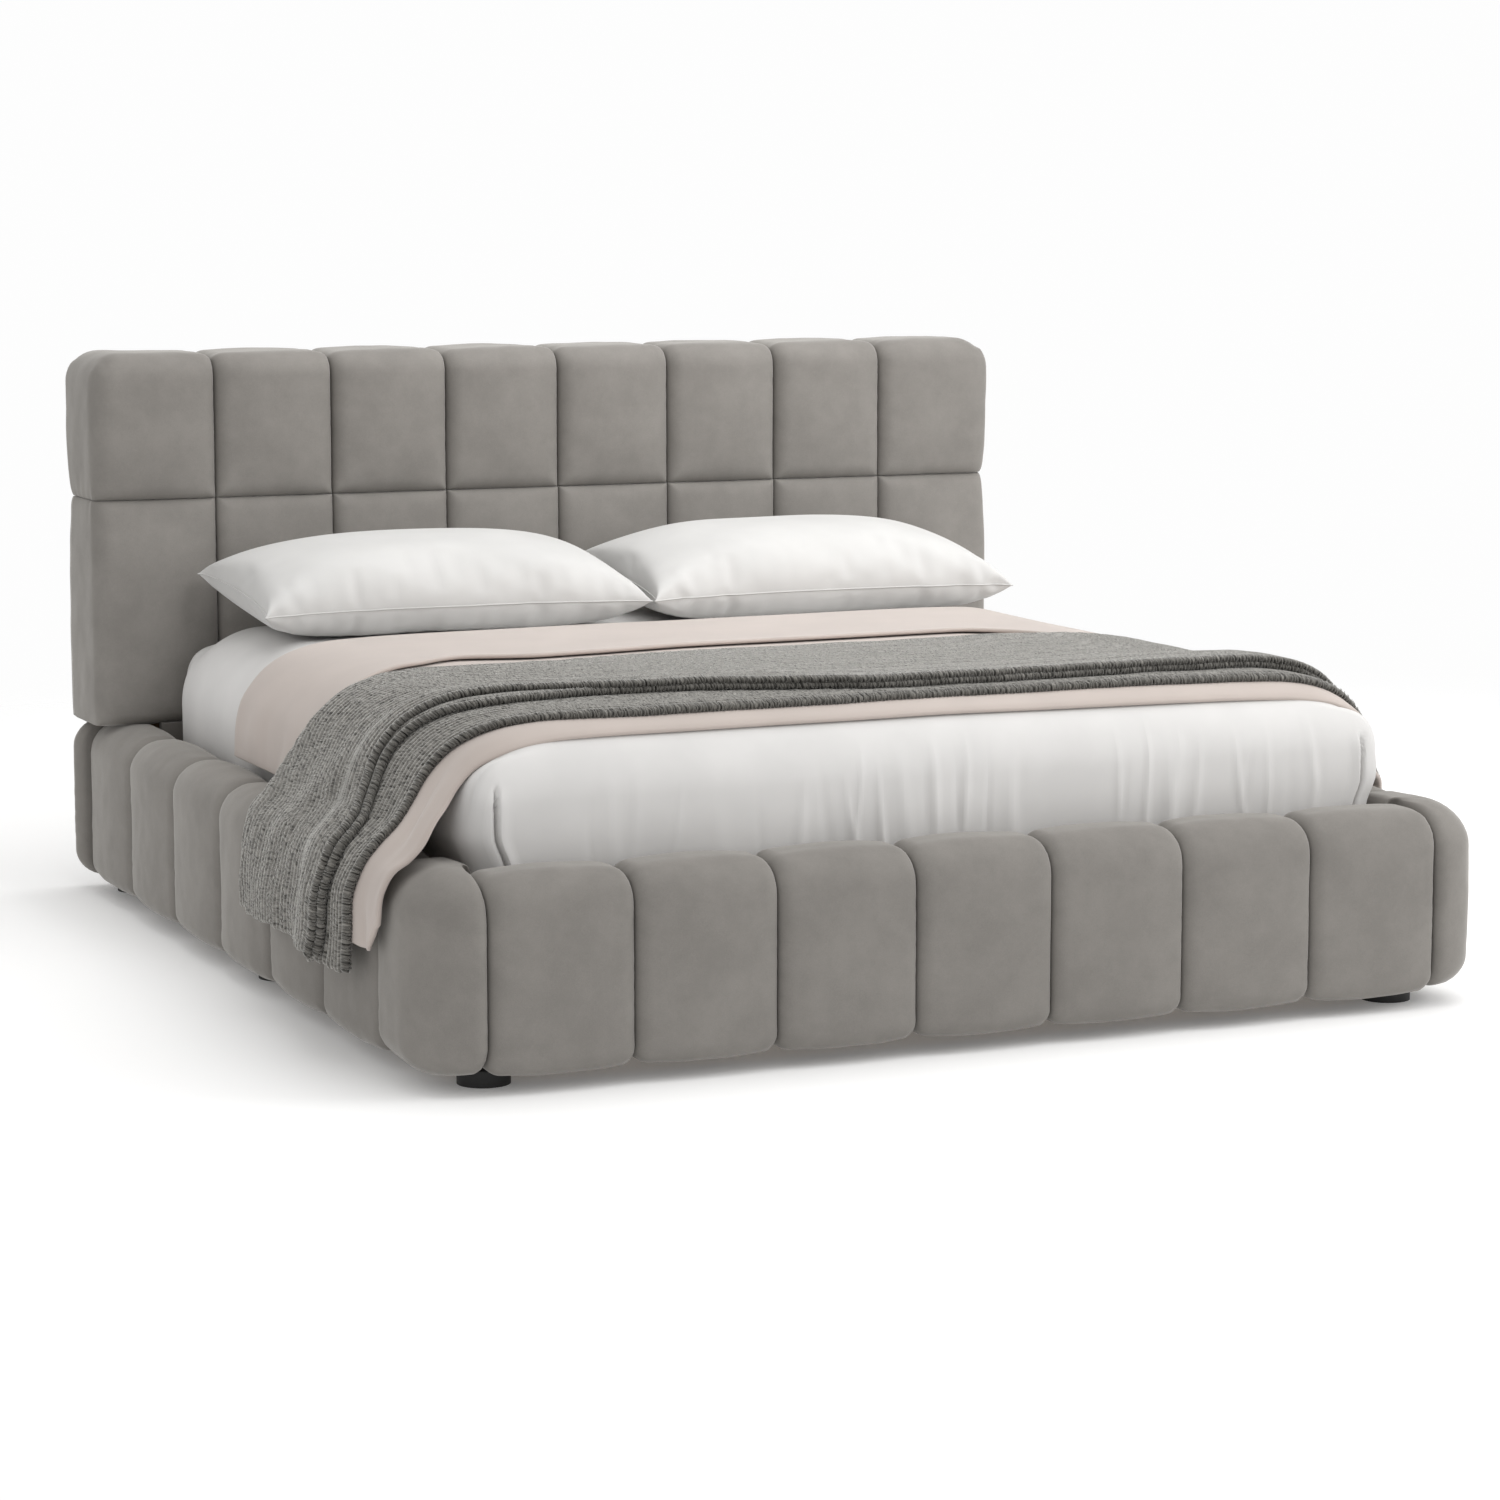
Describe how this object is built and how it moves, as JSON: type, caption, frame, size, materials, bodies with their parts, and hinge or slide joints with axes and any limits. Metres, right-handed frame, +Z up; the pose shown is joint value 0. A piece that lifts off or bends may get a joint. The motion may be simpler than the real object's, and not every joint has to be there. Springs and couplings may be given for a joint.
{
  "type": "upholstered bed",
  "caption": "King-size bed: channel-padded base on low feet, headboard of padded squares, slatted deck, and a mattress dressed with pillows, a blanket and a knitted throw.",
  "frame": {"origin": "on the floor under the middle of the bed", "axes": "+Z up, +Y from the foot end to the headboard, +X to the right seen from the foot end"},
  "size_m": [2.298, 2.48, 1.24],
  "materials": {
    "upholstery": "soft velvet pile",
    "backing_cloth": "plain woven lining",
    "plywood": "raw",
    "pine": "planed",
    "birch_slat": "satin",
    "black_steel": "powder coat",
    "zinc_steel": "zinc plated",
    "black_plastic": "fine texture",
    "white_sheet": "washed cotton",
    "pillow_case": "washed cotton",
    "beige_satin": "smooth sateen",
    "grey_knit": "ribbed marl knit"
  },
  "bodies": {
    "bed": {"back_board": "pine", "base_back_cover": "backing_cloth", "beam_hangers": "black_steel", "centre_beam": "pine", "centre_legs": "black_steel", "corner_blocks": "pine", "feet": "black_plastic", "foot_board": "pine", "footboard_channel_1": "upholstery", "footboard_channel_2": "upholstery", "footboard_channel_3": "upholstery", "footboard_channel_4": "upholstery", "footboard_channel_5": "upholstery", "footboard_channel_6": "upholstery", "footboard_channel_7": "upholstery", "front_corner_pad_left": "upholstery", "front_corner_pad_right": "upholstery", "head_cross_rail": "backing_cloth", "headboard_back_panel": "backing_cloth", "headboard_bolts": "zinc_steel", "headboard_bottom_rail": "pine", "headboard_front_panel": "plywood", "headboard_pad_bottom_1": "upholstery", "headboard_pad_bottom_2": "upholstery", "headboard_pad_bottom_3": "upholstery", "headboard_pad_bottom_4": "upholstery", "headboard_pad_bottom_5": "upholstery", "headboard_pad_bottom_6": "upholstery", "headboard_pad_bottom_7": "upholstery", "headboard_pad_bottom_8": "upholstery", "headboard_pad_top_1": "upholstery", "headboard_pad_top_2": "upholstery", "headboard_pad_top_3": "upholstery", "headboard_pad_top_4": "upholstery", "headboard_pad_top_5": "upholstery", "headboard_pad_top_6": "upholstery", "headboard_pad_top_7": "upholstery", "headboard_pad_top_8": "upholstery", "headboard_posts": "pine", "headboard_studs": "pine", "headboard_top_rail": "pine", "left_rail_channels": "upholstery", "left_side_board": "pine", "rear_corner_pad_left": "upholstery", "rear_corner_pad_right": "upholstery", "right_rail_channels": "upholstery", "right_side_board": "pine", "slat_ledges": "pine", "slats": "birch_slat"},
    "mattress": {"mattress": "white_sheet", "blanket": "beige_satin", "throw": "grey_knit"},
    "pillow_left": {"pillow_left": "pillow_case"},
    "pillow_right": {"pillow_right": "pillow_case"},
    "glide_1": {"centre_leg_glide_1": "black_plastic"},
    "glide_2": {"centre_leg_glide_2": "black_plastic"},
    "glide_3": {"centre_leg_glide_3": "black_plastic"}
  },
  "joints": [
    {"name": "mattress_lift", "type": "slide", "parent": "bed", "child": "mattress", "axis": [0, 0, 1], "range_m": [0, 0.3]},
    {"name": "pillow_left_lift", "type": "slide", "parent": "mattress", "child": "pillow_left", "axis": [0, 0, 1], "range_m": [0, 0.25]},
    {"name": "pillow_right_lift", "type": "slide", "parent": "mattress", "child": "pillow_right", "axis": [0, 0, 1], "range_m": [0, 0.25]},
    {"name": "glide_1_level", "type": "slide", "parent": "bed", "child": "glide_1", "axis": [0, 0, 1], "range_m": [0, 0.012]},
    {"name": "glide_2_level", "type": "slide", "parent": "bed", "child": "glide_2", "axis": [0, 0, 1], "range_m": [0, 0.012]},
    {"name": "glide_3_level", "type": "slide", "parent": "bed", "child": "glide_3", "axis": [0, 0, 1], "range_m": [0, 0.012]}
  ]
}
